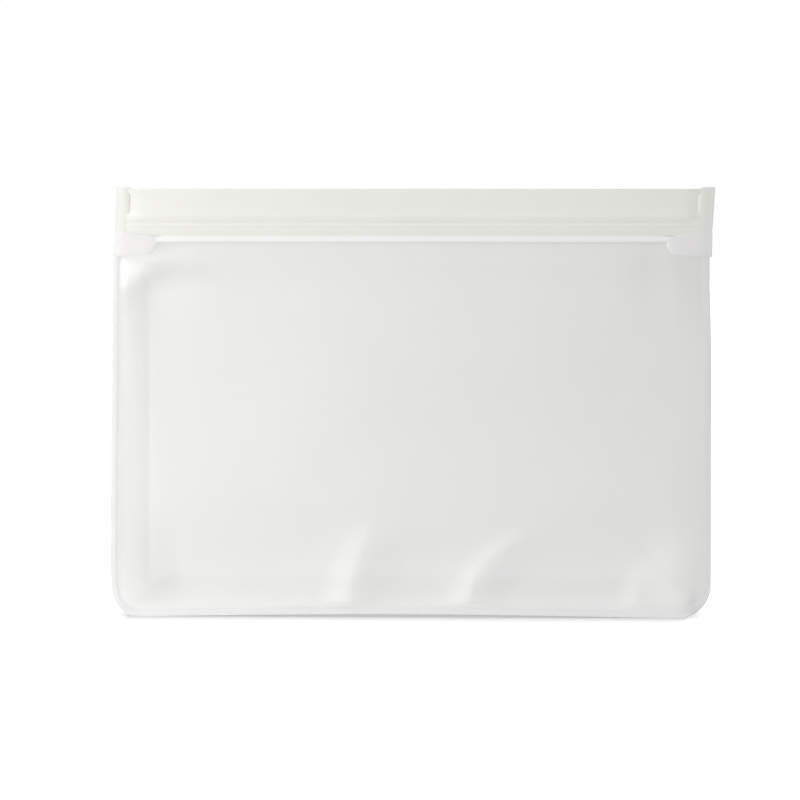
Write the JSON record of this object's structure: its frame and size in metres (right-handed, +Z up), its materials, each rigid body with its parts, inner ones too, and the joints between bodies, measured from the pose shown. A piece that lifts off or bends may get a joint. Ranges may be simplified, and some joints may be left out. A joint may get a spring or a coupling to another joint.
{
  "type": "stand-up storage bag",
  "caption": "Wide stand-up storage bag of frosted see-through film, empty and shut, with a press-to-close zip under pull lips, welded rims and a folded gusset round its sides and base.",
  "frame": {"origin": "on the floor, under the middle of the bag", "axes": "+X to the bag's right as seen from the front, -Y to the front, +Z up"},
  "size_m": [0.28, 0.0308, 0.2],
  "materials": {
    "frosted_film": "frosted, softly glossy",
    "zip_film": "thicker milky film, softly glossy",
    "pressed_weld": "pressed flat, satin"
  },
  "bodies": {
    "root": {"pouch": "frosted_film", "front_zip_strip": "zip_film", "back_zip_strip": "zip_film", "left_end_weld": "pressed_weld", "right_end_weld": "pressed_weld"}
  },
  "joints": []
}
